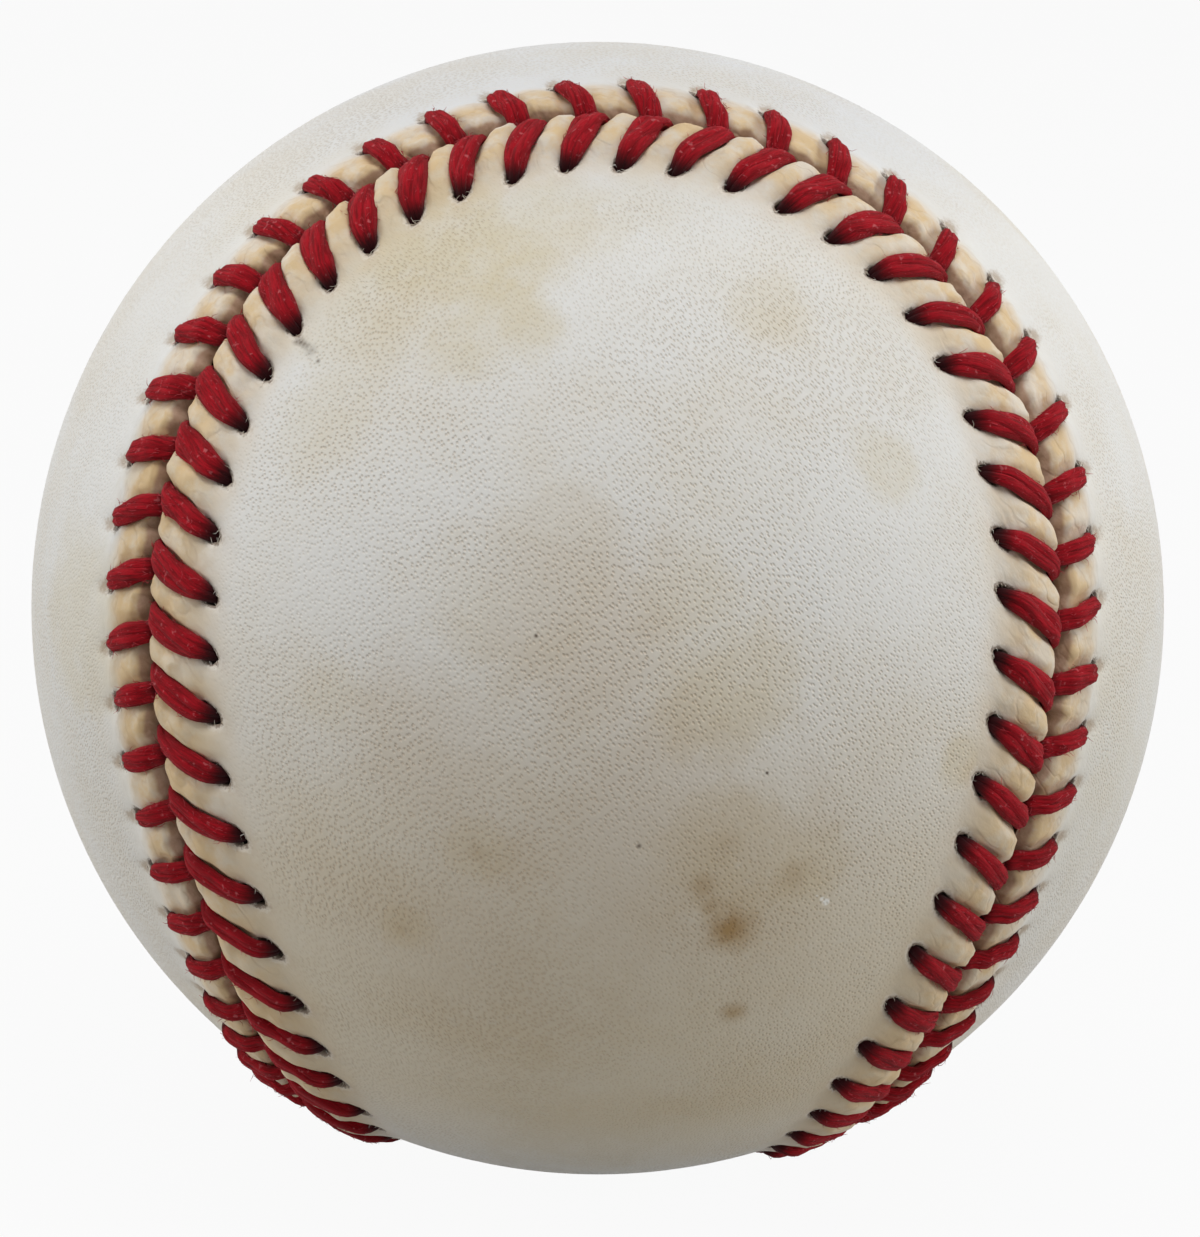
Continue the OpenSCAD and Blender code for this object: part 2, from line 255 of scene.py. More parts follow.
class Lip:
    """Grid of the lip of one panel: rows along the seam, columns across it."""

    def __init__(self, side):
        self.side = side
        self.stitch = np.arange(ROWS) / ROWS_PER_STITCH
        share = pillow_share(self.stitch)
        wobble = 1 + PILLOW_WOBBLE * np.interp(
            self.stitch, np.arange(STITCH_COUNT + 1) - 0.5,
            np.resize(RANDOM.uniform(-1, 1, STITCH_COUNT), STITCH_COUNT + 1),
        )
        self.pillow = share
        self.pillow_rise = PILLOW_RISE[side] * wobble
        self.dents = ripples(DENT_LENGTHS, DENT_REACH)
        frayed = ripples(DENT_LENGTHS, FRAY_REACH)(self.stitch * STITCH_PITCH, 0)
        pillow_edge = PILLOW_EDGE[side] + EDGE_WOBBLE_SHARE * (wobble - 1)
        edge = blend(VALLEY_EDGE[side], pillow_edge, share) + frayed
        width = blend(VALLEY_ROUND[side], PILLOW_ROUND[side], share)
        drop = blend(VALLEY_DROP[side], PILLOW_DROP[side], share)
        hole_first = HOLE_ACROSS[side] - CELL * (HALF_CELLS_ACROSS + MARGIN_CELLS)
        columns = []
        for level in np.linspace(0, 1, WALL_COLUMNS, endpoint=False):
            top = self.top_radius(edge + width) - drop
            columns.append((edge, blend(LIP_UNDER_RADIUS, top, level)))
        for angle in np.linspace(0, math.pi / 2, ROUND_COLUMNS, endpoint=False):
            level = angle / (math.pi / 2)
            across = edge + width * blend(1 - math.cos(angle), level, BEVEL_SHARE[side])
            depth = drop * blend(1 - math.sin(angle), 1 - level, BEVEL_SHARE[side])
            columns.append((across, self.top_radius(across) - depth))
        for level in np.linspace(0, 1, CREST_COLUMNS, endpoint=False):
            across = blend(edge + width, hole_first, level)
            columns.append((across, self.top_radius(across)))
        self.top_start = WALL_COLUMNS + ROUND_COLUMNS
        self.hole_low = len(columns) + MARGIN_CELLS
        hole_places = [hole_first + CELL * column for column in range(HOLE_COLUMNS + 1)]
        for value in (*hole_places, *FOOT_PLACES):
            across = np.full(ROWS, value)
            columns.append((across, self.top_radius(across)))
        self.hole_high = self.hole_low + 2 * HALF_CELLS_ACROSS
        cut_end = WALL_COLUMNS + ROUND_COLUMNS * CUT_SHARE[side]
        self.cut_edge = np.interp(np.arange(len(columns)), cut_end + CUT_FADE, (1, 0))
        self.across = np.stack([a for a, _ in columns], 1)
        self.radius = np.stack([r for _, r in columns], 1)
        self.along = np.broadcast_to((self.stitch * STITCH_PITCH)[:, None], self.across.shape).copy()
        self.warp_holes()

    def top_radius(self, across):
        lift = smooth(LIP_FOOT_ACROSS, LIP_TOP_ACROSS, across)
        rise = blend(VALLEY_RISE[self.side], self.pillow_rise, self.pillow)
        return BALL_RADIUS + lift * (rise + self.dents(self.stitch * STITCH_PITCH, across))

    def warp_holes(self):
        """Draws the grid lines round each hole's block of cells into a pointed oval."""
        side = self.side
        phase = self.stitch - np.round(self.stitch)
        beside = np.broadcast_to((phase * STITCH_PITCH)[:, None], self.across.shape)
        beyond = self.across - HOLE_ACROSS[side]
        half_along = HALF_CELLS_ALONG * STITCH_PITCH / ROWS_PER_STITCH
        half_across = HALF_CELLS_ACROSS * CELL
        x, y = beside / half_along, beyond / half_across
        ring = np.maximum(np.abs(x), np.abs(y))
        length = np.maximum(np.hypot(x, y), 1e-9)
        unit_x, unit_y = x / length, y / length
        narrow = 1 - HOLE_POINTED_SHARE[side] * np.clip(unit_y, 0, 1) ** 2
        number = np.round(self.stitch).astype(int) % STITCH_COUNT
        stray = HOLE_STRAY[side][number]
        wave = RAGGED_POINTS * np.arctan2(unit_y, unit_x) + RAGGED_TURN * number[:, None]
        ragged = 1 + RAGGED_REACH * np.sin(wave)
        oval_x = HOLE_HALF_WIDTH[side] * unit_x * narrow * ragged * ring + stray[:, :1]
        oval_y = HOLE_HALF_LENGTH[side] * unit_y * ragged * ring + stray[:, 1:]
        stay = smooth(1, HOLE_WARP_REACH, ring)
        self.along += (blend(oval_x, beside, stay) - beside) * (ring < HOLE_WARP_REACH)
        self.across = self.across + (blend(oval_y, beyond, stay) - beyond) * (ring < HOLE_WARP_REACH)
        aside = self.along - np.round(self.stitch)[:, None] * STITCH_PITCH - stray[:, :1]
        beyond = (self.across - HOLLOW_ACROSS[side] - stray[:, 1:]) / HOLLOW_HALF_LENGTH[side]
        self.hollow = np.exp(-(aside / HOLLOW_HALF_WIDTH) ** 2 - beyond ** 2)
        self.radius = self.radius - HOLLOW_DEPTH[side] * self.hollow
        beyond = (self.across - HOLE_ACROSS[side] - stray[:, 1:]) / HOLE_HALF_LENGTH[side]
        self.hole_distance = np.hypot(aside / HOLE_HALF_WIDTH[side], beyond)

    def points(self, radius):
        """Points of the whole grid at the given radii, sheared as the legs lean."""
        run = stitch_run(self.along / STITCH_PITCH) + lean_at(self.side, self.across)
        return place(run, self.side * self.across, radius)

    def inner_radius(self):
        slope = smooth(INNER_TOP_ACROSS, INNER_FOOT_ACROSS, self.across)
        return blend(LIP_UNDER_RADIUS, COVER_INNER_RADIUS, slope)


# Values at each vertex of a panel: share of the pillow, place across, distance from the hole in
# hole sizes, cut leather and pressed hollow
PLACE_VALUES = 5
CUT_VALUE = 3
NUMBER_VALUES = {CUT_VALUE: "flesh", 4: "hollow"}
ACROSS_SPAN = 10
HOLE_DISTANCE_LIMIT = 9


class Shell:
    """Collects the vertices, faces and material values of one closed mesh."""

    def __init__(self):
        self.vertices = []
        self.faces = []
        self.places = []
        self.count = 0

    def add(self, points, places):
        points = points.reshape(-1, 3)
        first = self.count
        self.vertices.append(points)
        self.places.append(np.broadcast_to(places, (len(points), PLACE_VALUES)))
        self.count += len(points)
        return np.arange(first, self.count)

    def quad_strip(self, low, high, keep=slice(None)):
        """Faces, or those to keep, between two closed rings of the same count."""
        ring = np.stack([low, np.roll(low, -1), np.roll(high, -1), high], 1)
        self.faces += [tuple(f) for f in ring[keep]]

    def halving_strip(self, fine, coarse):
        """Faces between a ring and one of half its count."""
        for k in range(len(coarse)):
            a, b, c = fine[2 * k], fine[2 * k + 1], fine[(2 * k + 2) % len(fine)]
            d, e = coarse[k], coarse[(k + 1) % len(coarse)]
            self.faces += [(a, b, d), (b, e, d), (b, c, e)]

    def mesh(self, name):
        places = np.concatenate(self.places).astype(np.float32)
        points = np.concatenate(self.vertices)
        data = make_mesh(name, points, self.faces, "seam_place", places[:, :CUT_VALUE])
        for number, label in NUMBER_VALUES.items():
            layer = data.attributes.new(label, "FLOAT", "POINT")
            layer.data.foreach_set("value", places[:, number].copy())
        face_outward(data)
        return data


def fill_inside(shell, lip, ring, radius, flesh):
    """Closes a panel's surface inside its lip: two halvings, then arcs from side to side."""
    far_place = (0, 1, HOLE_DISTANCE_LIMIT, flesh, 0)
    for value in FILL_PLACES:
        step = ROWS // len(ring) * 2
        run = stitch_run(lip.stitch[::step]) + lean_at(lip.side, LEAN_END_ACROSS)
        points = place(run, lip.side * value, radius)
        inner = shell.add(points, far_place)
        shell.halving_strip(ring, inner)
        ring = inner
    count = len(ring)
    first = 0 if lip.side == UPPER else count // 4
    shares = np.linspace(0, 1, FILL_COLUMNS + 1)[1:-1, None]
    previous = [ring[first]]
    for step in range(1, count // 2 + 1):
        a, b = ring[(first + step) % count], ring[(first - step) % count]
        if step == count // 2:
            row = [a]
        else:
            start, end = (points[corner - ring[0]] / radius for corner in (a, b))
            angle = math.acos(np.clip(start @ end, -1, 1))
            arc = np.sin((1 - shares) * angle) * start + np.sin(shares * angle) * end
            row = [a, *shell.add(arc / math.sin(angle) * radius, far_place), b]
        cells = max(len(previous), len(row)) - 1
        low, high = (line if len(line) > 1 else line * (cells + 1) for line in (previous, row))
        for k in range(cells):
            # The first and the last row are one vertex, so their faces are triangles
            shell.faces.append(tuple(dict.fromkeys((low[k + 1], low[k], high[k], high[k + 1]))))
        previous = row


def border(block):
    """Ring round a block of a grid."""
    return np.concatenate([block[0, :-1], block[:-1, -1], block[-1, :0:-1], block[:0:-1, 0]])


def cover_panel(lip, name, nodes):
    """One leather panel: outer and inner surface, edge and hole walls."""
    shell = Shell()
    columns = lip.across.shape[1]
    outer_places = np.stack([
        np.broadcast_to(lip.pillow[:, None], lip.across.shape),
        np.clip(lip.across / ACROSS_SPAN, 0, 1),
        np.minimum(lip.hole_distance, HOLE_DISTANCE_LIMIT),
        np.broadcast_to(lip.cut_edge[None, :], lip.across.shape),
        lip.hollow,
    ], -1)
    inner_places = outer_places.copy()
    inner_places[..., CUT_VALUE] = 1
    outer = shell.add(lip.points(lip.radius), outer_places.reshape(-1, PLACE_VALUES))
    outer = outer.reshape(ROWS, columns)
    inner = np.full((ROWS, columns), -1)
    inner[:, lip.top_start:] = shell.add(
        lip.points(lip.inner_radius())[:, lip.top_start:],
        inner_places[:, lip.top_start:].reshape(-1, PLACE_VALUES),
    ).reshape(ROWS, -1)

    phase = np.arange(ROWS) % ROWS_PER_STITCH
    beside = np.minimum(phase, ROWS_PER_STITCH - 1 - phase)
    for grid, start in ((outer, 0), (inner, lip.top_start)):
        for column in range(start, columns - 1):
            at_holes = lip.hole_low <= column < lip.hole_high
            keep = beside >= HALF_CELLS_ALONG if at_holes else slice(None)
            shell.quad_strip(grid[:, column], grid[:, column + 1], keep)
    shell.quad_strip(outer[:, 0], inner[:, lip.top_start])
    for stitch in range(STITCH_COUNT):
        rows = stitch * ROWS_PER_STITCH + np.arange(-HALF_CELLS_ALONG, HALF_CELLS_ALONG + 1)
        block = np.ix_(rows % ROWS, range(lip.hole_low, lip.hole_high + 1))
        shell.quad_strip(border(outer[block]), border(inner[block]))
    fill_inside(shell, lip, outer[:, -1], BALL_RADIUS, 0)
    fill_inside(shell, lip, inner[:, -1], COVER_INNER_RADIUS, 1)
    piece = add_object(name, shell.mesh(name))
    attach(piece, "root")
    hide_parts(*nodes)
    return piece


# Thread

PLIES = 3
PLY_SIDES = 7
PLY_TWIST = math.radians(24)
LEG_WIDTH = panels(1.8, 1.6)
HOLE_WIDTH = panels(1.05, 0.85)
GAP_WIDTH = panels(1.5, 1.3)
LEG_THICKNESS = 0.85
UNDER_THICKNESS = 0.42
LEG_EXIT = 0.05
# Seeded differences between legs: share of the width, and way ahead or back
LEG_WIDTH_SHARES = (0.86, 1.06)
LEG_SLACK = 0.15
# Legs that follow the photograph: middle stitch, spread and amount. On the upper panel leaning
# legs run farther ahead and tight ones come out nearer the seam; narrow legs are on both.
LEANING_LEGS = {"top_right": (86, 9, 0.6)}
NARROW_LEGS = {"low_right": (97, 5.5, 0.18), "right": (87.5, 4, 0.09), "low_left": (63, 4, 0.12)}
TIGHT_LEGS = {"right": (89, 7, 0.4), "right_upper": (86.5, 1.8, 0.5), "low_left": (65, 3.5, 0.7)}
# A leg's stations: below its hole, where it has climbed out, lies level and turns down at the edge
HOLE_BELOW, CLIMB_ACROSS, LEVEL_ACROSS, TURN_ACROSS = 0.12, 0.45, 1.1, 0.2
OVER_SHARES = (0.4, 0.75)
STEPS_PER_STATION = 2
# A ply's half width and half thickness as shares of the thread's, and how far plies overlap
PLY_WIDTH_SHARE, PLY_THICKNESS_SHARE = 0.325, 0.375
PLY_OVERLAP = 1.15
# Way along the seam that gives its direction, and where a strand's values part from each other
PROBE = 0.2
LINE_PARTS = (3, 6, 9, 12)


def runs_at(stitch, table):
    """Amount that each run of legs in a table has at a stitch."""
    bells = (((stitch - middle) / spread, amount) for middle, spread, amount in table.values())
    return [amount * math.exp(-away ** 2) for away, amount in bells]


def leg_stations(stitch, strand, lips):
    """Stations of one leg: run, across, radius, width, thickness and how deep it is tucked."""
    side = LOWER if (stitch + strand) % 2 else UPPER
    lip = lips[side]
    row = stitch * ROWS_PER_STITCH
    astray, outward = HOLE_STRAY[side][stitch]
    hole = HOLE_ACROSS[side] + LEG_EXIT + outward
    if side == UPPER:
        for draw in runs_at(stitch, TIGHT_LEGS):
            hole -= draw
    full = LEG_WIDTH[side] * RANDOM.uniform(*LEG_WIDTH_SHARES)
    for cut in runs_at(stitch, NARROW_LEGS):
        full *= 1 - cut

    def top(across):
        """Radius of the panel under the leg."""
        return float(np.interp(across, lip.across[row, WALL_COLUMNS:], lip.radius[row, WALL_COLUMNS:]))

    lift = LEG_THICKNESS / 2
    gap = GAP_WIDTH[side]
    narrow = HOLE_WIDTH[side]
    edge = VALLEY_EDGE[side]
    below, climb, level = hole + HOLE_BELOW, hole - CLIMB_ACROSS, hole - LEVEL_ACROSS
    turn = edge + TURN_ACROSS
    over = [blend(level, turn, share) for share in OVER_SHARES]
    shape = [
        (below, THREAD_UNDER_RADIUS, narrow, UNDER_THICKNESS, 1.0),
        (below, BALL_RADIUS - 0.6, narrow, LEG_THICKNESS, 1.0),
        (hole + 0.02, BALL_RADIUS - 0.1, narrow, LEG_THICKNESS, 0.95),
        (climb, top(climb) + lift * 0.72, blend(narrow, full, 0.4), LEG_THICKNESS, 0.5),
        (level, top(level) + lift, blend(narrow, full, 0.8), LEG_THICKNESS, 0.0),
        *((across, top(across) + lift, full, LEG_THICKNESS, 0.0) for across in over),
        (turn, top(edge + 0.4) + lift * 0.8, blend(full, gap, 0.5), LEG_THICKNESS, 0.2),
        (edge - 0.4, BALL_RADIUS - 0.15, gap, LEG_THICKNESS, 0.6),
        (edge - 0.75, LIP_UNDER_RADIUS, narrow, UNDER_THICKNESS, 1.0),
        (edge - 1.4, THREAD_UNDER_RADIUS, narrow, UNDER_THICKNESS, 1.0),
    ]
    slack = RANDOM.uniform(-LEG_SLACK, LEG_SLACK)
    if side == UPPER:
        for ahead in runs_at(stitch, LEANING_LEGS):
            slack += ahead
    return [
        (
            stitch_run(stitch) + lean_at(side, across) + blend(slack, astray, across / hole),
            side * across, radius, width, thick, tuck,
        )
        for across, radius, width, thick, tuck in shape
    ]


def catmull_rom(stations):
    """Smooth run of values through the stations."""
    padded = np.concatenate([stations[:1], stations, stations[-1:]])
    before, start, end, after = padded[:-3], padded[1:-2], padded[2:-1], padded[3:]
    share = (np.arange(STEPS_PER_STATION) / STEPS_PER_STATION)[None, :, None]
    a, b, c, d = (v[:, None, :] for v in (before, start, end, after))
    curve = 0.5 * (
        2 * b + (c - a) * share + (2 * a - 5 * b + 4 * c - d) * share ** 2
        + (3 * b - a - 3 * c + d) * share ** 3
    )
    return np.concatenate([curve.reshape(-1, stations.shape[1]), stations[-1:]])


def strand_line(number, lips):
    """Points of one strand: middle, direction, way across and out, width, thickness and tuck."""
    stations = []
    for stitch in range(STITCH_COUNT):
        stations += leg_stations(stitch, number, lips)
    path = catmull_rom(np.array(stations))
    run, across, radius = path.T[:3]
    centre = place(run, across, radius)
    ahead = unit(np.gradient(centre, axis=0))
    along = place(run + PROBE, across, radius) - place(run - PROBE, across, radius)
    wide = unit(along - ahead * np.sum(along * ahead, 1, keepdims=True))
    return np.concatenate([centre, ahead, wide, np.cross(ahead, wide), path[:, 3:]], 1)


def stitching_thread(lips):
    """The thread as one mesh of two strands of twisted plies, and the line along them."""
    vertices, faces, places = [], [], []
    lines = [strand_line(number, lips) for number in range(2)]
    for line in lines:
        centre, ahead, wide, thin, form = np.split(line, LINE_PARTS, axis=1)
        width, thickness, tuck = form.T
        length = np.concatenate([[0], np.cumsum(np.linalg.norm(np.diff(centre, axis=0), axis=1))])
        rings = len(line)
        for ply in range(PLIES):
            turn = 2 * math.pi * ply / PLIES + PLY_TWIST * length
            out_wide = (0.5 - PLY_WIDTH_SHARE / PLY_OVERLAP) * width * np.cos(turn)
            out_thin = (0.5 - PLY_THICKNESS_SHARE) * thickness * np.sin(turn)
            middle = centre + out_wide[:, None] * wide + out_thin[:, None] * thin
            index = (len(vertices) + np.arange(PLY_SIDES)[:, None]) * rings + np.arange(rings)
            for k in range(PLY_SIDES):
                angle = 2 * math.pi * k / PLY_SIDES
                beside = (PLY_WIDTH_SHARE * width * math.cos(angle))[:, None] * wide
                above = (PLY_THICKNESS_SHARE * thickness * math.sin(angle))[:, None] * thin
                vertices.append(middle + beside + above)
                places.append(np.stack([length, np.full(rings, ply + k / PLY_SIDES), tuck], 1))
            a, b = index[:, :-1], index[:, 1:]
            c, d = np.roll(b, -1, 0), np.roll(a, -1, 0)
            faces += [tuple(f) for f in np.stack([a, b, c, d], -1).reshape(-1, 4)]
            faces += [tuple(index[:, 0]), tuple(index[::-1, -1])]
    points, places = np.concatenate(vertices), np.concatenate(places)
    data = make_mesh("lacing_thread", points, faces, "thread_place", places)
    face_outward(data)
    piece = add_object("lacing_thread", data)
    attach(piece, "root")
    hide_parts("stitching_thread")
    return piece, np.concatenate(lines)


# Fine fibres of the thread and of the punched leather

FIBRE_RADII = (0.02, 0.017, 0.007)
FIBRE_SIDES = 3
# How fibres leave their roots
FIBRE_RISE = (0.15, 0.7)
FIBRE_SWAY, FIBRE_BEND, FIBRE_DROOP = 0.35, 0.5, 0.3
# Fuzz of the thread: lengths, the deepest tuck that has any, and shares of the thread it stands on
THREAD_FIBRES = 17000
FUZZ_SHORTEST, FUZZ_ADDED, FUZZ_SELDOM = 0.12, 0.55, 2.2
FUZZ_DEEPEST_TUCK = 0.55
FUZZ_UNDERSIDE = -0.1
FUZZ_WIDTH_SHARE, FUZZ_THICKNESS_SHARE = 0.48, 0.46
# Torn fibres of a punched hole: their lengths, and the size and depth of their ring
FIBRES_PER_HOLE = 14
TORN_LENGTHS = (0.2, 0.5)
TORN_RING, TORN_DEPTH = 1.04, 0.05


def fibre_piece(name, roots, outward, ahead, length, slot):
    """Short bent fibres that rise from their roots and lie partly along the surface."""
    count = len(roots)
    rise = RANDOM.uniform(*FIBRE_RISE, (count, 1))
    sway = RANDOM.normal(0, FIBRE_SWAY, (count, 3))
    start = unit(ahead * RANDOM.choice((-1, 1), (count, 1)) + rise * outward + sway)
    end = unit(start + RANDOM.normal(0, FIBRE_BEND, (count, 3)) - FIBRE_DROOP * outward)
    half = length[:, None] * 0.5
    path = np.stack([roots, roots + start * half, roots + start * half + end * half], 1)
    aside = unit(np.cross(start, outward + 0.1 * ahead))
    above = unit(np.cross(start, aside))
    turns = 2 * math.pi * np.arange(FIBRE_SIDES) / FIBRE_SIDES
    ring = np.cos(turns)[:, None] * aside[:, None, None] + np.sin(turns)[:, None] * above[:, None, None]
    points = path[:, :, None] + np.array(FIBRE_RADII)[:, None, None] * ring
    corners = np.arange(len(FIBRE_RADII) * FIBRE_SIDES).reshape(-1, FIBRE_SIDES)
    turned = np.roll(corners, -1, 1)
    walls = np.stack([corners[:-1], turned[:-1], turned[1:], corners[1:]], -1).reshape(-1, 4)
    form = [*walls.tolist(), corners[0, ::-1].tolist(), corners[-1].tolist()]
    starts = range(0, count * corners.size, corners.size)
    faces = [[first + k for k in face] for first in starts for face in form]
    data = make_mesh(name, points.reshape(-1, 3), faces)
    piece = add_object(name, data)
    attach(piece, "root")
    return piece


def thread_fibres(line):
    """Fuzz of the cotton thread."""
    centre, ahead, wide, thin, form = np.split(line, LINE_PARTS, axis=1)
    width, thickness, tuck = form.T
    count = THREAD_FIBRES
    at = RANDOM.choice(np.flatnonzero(tuck < FUZZ_DEEPEST_TUCK), count)
    step = RANDOM.uniform(0, 1, (count, 1))
    middle = centre[at] + step * (centre[np.minimum(at + 1, len(centre) - 1)] - centre[at])
    turn = RANDOM.uniform(0, 2 * math.pi, count)
    reach = (FUZZ_WIDTH_SHARE * width[at] * np.cos(turn))[:, None] * wide[at]
    reach += (FUZZ_THICKNESS_SHARE * thickness[at] * np.sin(turn))[:, None] * thin[at]
    outward = unit(reach)
    facing = np.sum(outward * unit(middle), 1) > FUZZ_UNDERSIDE
    length = FUZZ_SHORTEST + FUZZ_ADDED * RANDOM.uniform(0, 1, count) ** FUZZ_SELDOM
    rows = [values[facing] for values in (middle + reach, outward, ahead[at], length)]
    return fibre_piece("thread_fibres", *rows, "stitch_thread")


def hole_fibres(lips):
    """Torn fibres round the punched holes of both panels."""
    roots, outward, ahead = [], [], []
    stitch = np.repeat(np.arange(STITCH_COUNT), FIBRES_PER_HOLE)
    for side in lips:
        aside, beyond = HOLE_STRAY[side][stitch].T
        turn = RANDOM.uniform(0, 2 * math.pi, len(stitch))
        beside = HOLE_HALF_WIDTH[side] * TORN_RING * np.cos(turn) + aside
        across = HOLE_ACROSS[side] + HOLE_HALF_LENGTH[side] * TORN_RING * np.sin(turn) + beyond
        run = stitch_run(stitch + beside / STITCH_PITCH) + lean_at(side, across)
        lift = VALLEY_RISE[side] * smooth(LIP_FOOT_ACROSS, LIP_TOP_ACROSS, across) - TORN_DEPTH
        point = place(run, side * across, BALL_RADIUS + lift)
        roots.append(point)
        outward.append(unit(point))
        ahead.append(unit(place(run + PROBE, side * across, BALL_RADIUS + lift) - point))
    roots, outward, ahead = (np.concatenate(v) for v in (roots, outward, ahead))
    length = RANDOM.uniform(*TORN_LENGTHS, len(roots))
    return fibre_piece("punched_leather_fibres", roots, outward, ahead, length, "cover_leather")


# Camera, floor and light

SENSOR_WIDTH = 36
CLIP_START, CLIP_END = 0.01, 20
FLOOR_HALF = 3.0
# Soft studio lights: place and width in m, and power in W
LIGHTS = {
    "top_light": ((0.05, -0.24, 0.88), 0.7, 4.6),
    "left_light": ((-0.9, 0.0, 0.05), 0.8, 4.8),
    "right_light": ((0.9, -0.02, 0.05), 0.8, 5.2),
}
WORLD_LIGHT = 0.337
FLOOR_CAMERA_SHARE = 0.94
WHITE = (1.0, 1.0, 1.0, 1.0)


def camera_basis():
    """Right, up and back directions of the camera."""
    back = Vector((
        math.sin(CAMERA_AZIMUTH) * math.cos(CAMERA_ELEVATION),
        -math.cos(CAMERA_AZIMUTH) * math.cos(CAMERA_ELEVATION),
        math.sin(CAMERA_ELEVATION),
    ))
    level = Vector((0, 0, 1)).cross(back).normalized()
    upright = back.cross(level)
    right = level * math.cos(CAMERA_ROLL) + upright * math.sin(CAMERA_ROLL)
    return right, back.cross(right), back


def photo_direction(pixel_x, pixel_y):
    """Direction from the ball's centre to the surface that shows at a pixel of the photograph."""
    right, up, back = camera_basis()
    ray = (
        right * ((pixel_x - BALL_PIXEL_X) / FOCAL_PIXELS)
        - up * ((pixel_y - BALL_PIXEL_Y) / FOCAL_PIXELS) - back
    ).normalized()
    eye = back * CAMERA_DISTANCE
    half = -eye.dot(ray)
    reach = half - math.sqrt(max(half * half - eye.length_squared + BALL_RADIUS ** 2, 0))
    return (eye + ray * reach).normalized()


def make_camera():
    right, up, back = camera_basis()
    data = bpy.data.cameras.new("camera")
    camera = add_object("camera", data)
    turn = Matrix((right, up, back)).transposed().to_4x4()
    camera.matrix_world = Matrix.Translation(back * CAMERA_DISTANCE * MM) @ turn
    data.sensor_width = SENSOR_WIDTH
    data.lens = FOCAL_PIXELS * SENSOR_WIDTH / PHOTO_HEIGHT
    data.shift_x = (PHOTO_WIDTH / 2 - BALL_PIXEL_X) / PHOTO_HEIGHT
    data.shift_y = (BALL_PIXEL_Y - PHOTO_HEIGHT / 2) / PHOTO_HEIGHT
    data.clip_start = CLIP_START
    data.clip_end = CLIP_END
    bpy.context.scene.camera = camera


def make_floor():
    data = bpy.data.meshes.new("floor")
    corners = [
        (x * FLOOR_HALF, y * FLOOR_HALF, -BALL_RADIUS * MM)
        for x, y in ((-1, -1), (1, -1), (1, 1), (-1, 1))
    ]
    data.from_pydata(corners, [], [(0, 1, 2, 3)])
    floor = add_object("floor", data)
    data.materials.append(floor_material())


def area_light(name, spot, size, power):
    """Round white light that faces the ball."""
    data = bpy.data.lights.new(name, "AREA")
    data.shape = "DISK"
    data.size = size
    data.energy = power
    light = add_object(name, data)
    light.location = spot
    light.rotation_mode = "QUATERNION"
    light.rotation_quaternion = Vector(spot).to_track_quat("Z", "Y")


# Materials


def add_node(tree, kind, inputs=(), **settings):
    """Adds a node to a tree; inputs that are sockets are linked, others are set as values."""
    made = tree.nodes.new("ShaderNode" + kind)
    for key, value in settings.items():
        setattr(made, key, value)
    for key, value in dict(inputs).items():
        if isinstance(value, bpy.types.NodeSocket):
            tree.links.new(value, made.inputs[key])
        else:
            made.inputs[key].default_value = value
    return made


def node(kind, inputs, **settings):
    """Adds a node to the tree of the sockets among its inputs."""
    socket = next(v for v in inputs.values() if isinstance(v, bpy.types.NodeSocket))
    return add_node(socket.id_data, kind, inputs, **settings)


def reckon(operation, a, b=0.0):
    return node("Math", {0: a, 1: b}, operation=operation).outputs[0]


def plus(a, b):
    return reckon("ADD", a, b)


def minus(a, b):
    return reckon("SUBTRACT", a, b)


def times(a, b):
    return reckon("MULTIPLY", a, b)


def ramp(value, low, high, start=0.0, end=1.0):
    """Smooth step of a value, from start at low to end at high."""
    inputs = {"Value": value, "From Min": low, "From Max": high, "To Min": start, "To Max": end}
    return node("MapRange", inputs, interpolation_type="SMOOTHSTEP").outputs["Result"]


def linear(colour):
    """Scene colour of an 8-bit sRGB colour; a socket stays as it is."""
    if isinstance(colour, bpy.types.NodeSocket):
        return colour
    shares = (value / 255 for value in colour)
    return (*(v / 12.92 if v <= 0.04045 else ((v + 0.055) / 1.055) ** 2.4 for v in shares), 1.0)


def mix(share, a, b, blend_type="MIX"):
    inputs = {"Factor": share, "A": linear(a), "B": linear(b)}
    return node("Mix", inputs, data_type="RGBA", blend_type=blend_type).outputs["Result"]


def tint(share, colour, tone):
    return mix(share, colour, tone, "MULTIPLY")


def noise(vector, scale, detail=2.0, roughness=0.5):
    inputs = {"Vector": vector, "Scale": scale, "Detail": detail, "Roughness": roughness}
    return node("TexNoise", inputs).outputs["Fac"]


def split(vector):
    return node("SeparateXYZ", {"Vector": vector}).outputs[:]


def join(x, y):
    return node("CombineXYZ", {"X": x, "Y": y}).outputs[0]


def stretch(vector, scale, turn=(0, 0, 0)):
    """Coordinates of a pattern that is drawn out by a scale along turned axes."""
    inputs = {"Vector": vector, "Scale": scale, "Rotation": turn}
    return node("Mapping", inputs, vector_type="TEXTURE").outputs["Vector"]


def bump(height, distance, strength):
    inputs = {"Height": height, "Distance": distance, "Strength": strength}
    return node("Bump", inputs).outputs["Normal"]


def attribute(material, name, output="Vector"):
    """Value that the mesh carries for its material."""
    settings = {"attribute_name": name, "attribute_type": "GEOMETRY"}
    return add_node(material.node_tree, "Attribute", **settings).outputs[output]


def new_material(name):
    """Empty material, and the coordinates of its object."""
    material = bpy.data.materials.new(name)
    material.use_nodes = True
    material.node_tree.nodes.clear()
    return material, add_node(material.node_tree, "TexCoord").outputs["Object"]


